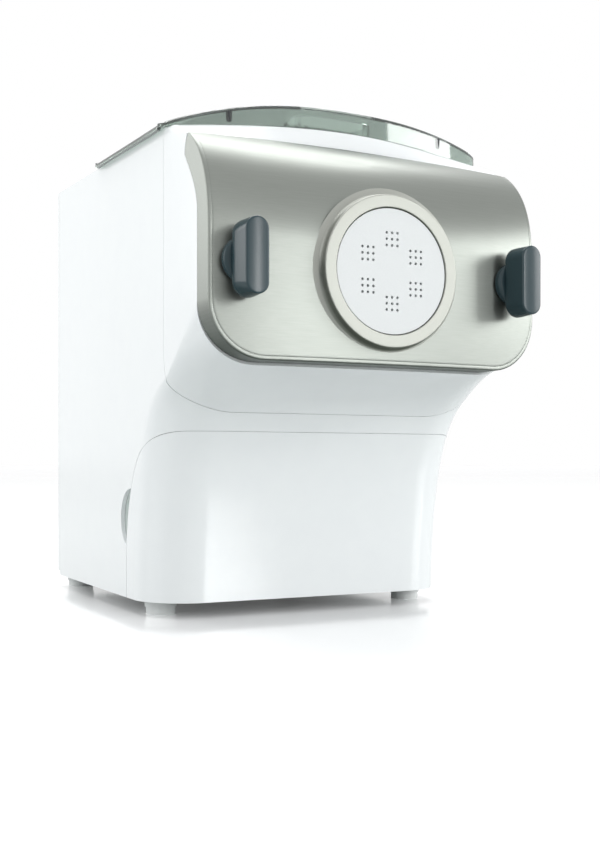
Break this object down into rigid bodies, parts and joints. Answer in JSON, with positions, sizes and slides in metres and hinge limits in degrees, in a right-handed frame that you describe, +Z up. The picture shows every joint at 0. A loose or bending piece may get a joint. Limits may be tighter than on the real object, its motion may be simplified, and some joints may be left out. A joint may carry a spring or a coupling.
{
  "type": "electric pasta maker",
  "caption": "Counter-top electric pasta maker with a clear lift-up lid, a clamped silver front plate with a perforated shaping disc, a gear drive and a front drawer.",
  "frame": {"origin": "on the counter, under the middle of the overall box", "axes": "+Z up, +Y to the rear, so the shaping disc faces -Y; +X is to the right as seen from the front"},
  "size_m": [0.221, 0.337, 0.305],
  "materials": {
    "gloss_white": "glossy moulded ABS",
    "satin_white": "satin moulded plastic",
    "silver_plate": "satin champagne silver",
    "slate": "satin slate grey",
    "smoke_clear": "clear smoke-green moulding",
    "disc_white": "satin acetal",
    "steel": "bright steel",
    "bronze": "sintered bronze",
    "wheel_cream": "greased acetal",
    "wheel_tan": "greased nylon",
    "structure_grey": "moulded structure",
    "chamber_plastic": "food-safe plastic",
    "dark_plastic": "dark moulded plastic",
    "seal_rubber": "silicone",
    "fascia_grey": "satin fascia",
    "display_black": "glossy window",
    "board_green": "circuit board",
    "winding_copper": "laminated core",
    "pocket_grey": "satin pale grey-green",
    "foot_rubber": "pale rubber",
    "plunger_red": "moulded plunger",
    "button_grey": "satin button cap"
  },
  "bodies": {
    "housing": {"base_plate": "satin_white", "main_shell": "gloss_white", "front_bezel": "gloss_white", "rear_cover": "gloss_white", "rear_hood": "gloss_white", "chamber_surround": "satin_white", "front_bulkhead": "structure_grey", "clamp_studs": "steel", "rear_frame": "structure_grey", "mixing_chamber": "chamber_plastic", "chamber_seal": "seal_rubber", "extrusion_tube": "chamber_plastic", "shaping_disc": "disc_white", "gearbox_housing": "structure_grey", "gearbox_cover": "structure_grey", "bearing_bushes": "bronze", "idler_pin": "steel", "motor_case": "steel", "motor_end_cap": "dark_plastic", "gearbox_screws": "steel", "housing_screws": "steel", "control_panel": "fascia_grey", "display_window": "display_black", "control_board": "board_green", "button_switches": "dark_plastic", "power_board": "board_green", "lid_switch": "dark_plastic", "hinge_brackets": "satin_white", "hinge_pins": "steel", "drawer_runners": "structure_grey", "grip_pockets": "pocket_grey", "cover_posts": "structure_grey", "rubber_feet": "foot_rubber", "cord_gland": "satin_white"},
    "motor_rotor": {"motor_rotor": "winding_copper", "motor_pinion": "steel", "cooling_fan": "dark_plastic"},
    "idler": {"idler_gear": "wheel_tan"},
    "drive": {"output_gear": "wheel_cream", "drive_shaft": "steel", "mixing_paddle": "chamber_plastic", "extrusion_screw": "chamber_plastic"},
    "lid": {"lid": "smoke_clear", "pour_tray": "smoke_clear", "lid_knuckles": "smoke_clear"},
    "switch_plunger": {"switch_plunger": "plunger_red"},
    "front_plate": {"front_panel": "silver_plate", "backing_plate": "steel", "mouth_ring": "silver_plate", "plate_screws": "steel"},
    "left_knob": {"left_knob_grip": "slate", "left_knob_sleeve": "slate"},
    "right_knob": {"right_knob_grip": "slate", "right_knob_sleeve": "slate"},
    "drawer": {"drawer_front": "gloss_white", "drawer_tray": "chamber_plastic"},
    "power_button": {"power_button": "button_grey"},
    "program_button": {"program_button": "button_grey"},
    "start_button": {"start_button": "button_grey"},
    "extrude_button": {"extrude_button": "button_grey"}
  },
  "joints": [
    {"name": "lid_hinge", "type": "hinge", "parent": "housing", "child": "lid", "pos_m": [0, 0.0579, 0.30102], "axis": [-1, 0, 0], "range_deg": [0, 95]},
    {"name": "switch_plunger_slide", "type": "slide", "parent": "housing", "child": "switch_plunger", "axis": [0, 0, 1], "range_m": [0, 0.0015]},
    {"name": "front_plate_slide", "type": "slide", "parent": "housing", "child": "front_plate", "axis": [0, -1, 0], "range_m": [0, 0.05]},
    {"name": "left_knob_turn", "type": "hinge", "parent": "front_plate", "child": "left_knob", "pos_m": [-0.088, -0.1505, 0.201], "axis": [0, -1, 0], "range_deg": [0, 450]},
    {"name": "right_knob_turn", "type": "hinge", "parent": "front_plate", "child": "right_knob", "pos_m": [0.088, -0.1505, 0.201], "axis": [0, -1, 0], "range_deg": [0, 450]},
    {"name": "drawer_slide", "type": "slide", "parent": "housing", "child": "drawer", "axis": [0, -1, 0], "range_m": [0, 0.085]},
    {"name": "motor_spin", "type": "hinge", "parent": "housing", "child": "motor_rotor", "pos_m": [0, 0.0705, 0.107], "axis": [0, 1, 0], "continuous": true},
    {"name": "idler_spin", "type": "hinge", "parent": "housing", "child": "idler", "pos_m": [0, 0.0705, 0.147], "axis": [0, 1, 0], "continuous": true},
    {"name": "drive_spin", "type": "hinge", "parent": "housing", "child": "drive", "pos_m": [0, 0.0575, 0.201], "axis": [0, 1, 0], "continuous": true},
    {"name": "power_button_press", "type": "slide", "parent": "housing", "child": "power_button", "axis": [-1, 0, 0], "range_m": [0, 0.0012], "stiffness_N_per_m": 400},
    {"name": "program_button_press", "type": "slide", "parent": "housing", "child": "program_button", "axis": [-1, 0, 0], "range_m": [0, 0.0012], "stiffness_N_per_m": 400},
    {"name": "start_button_press", "type": "slide", "parent": "housing", "child": "start_button", "axis": [-1, 0, 0], "range_m": [0, 0.0012], "stiffness_N_per_m": 400},
    {"name": "extrude_button_press", "type": "slide", "parent": "housing", "child": "extrude_button", "axis": [-1, 0, 0], "range_m": [0, 0.0012], "stiffness_N_per_m": 400}
  ],
  "couplings": [
    {"joint": "idler_spin", "follows": "motor_spin", "ratio": -0.14286},
    {"joint": "drive_spin", "follows": "motor_spin", "ratio": 0.028571},
    {"joint": "switch_plunger_slide", "follows": "lid_hinge", "m_per_rad": 0.0009}
  ]
}
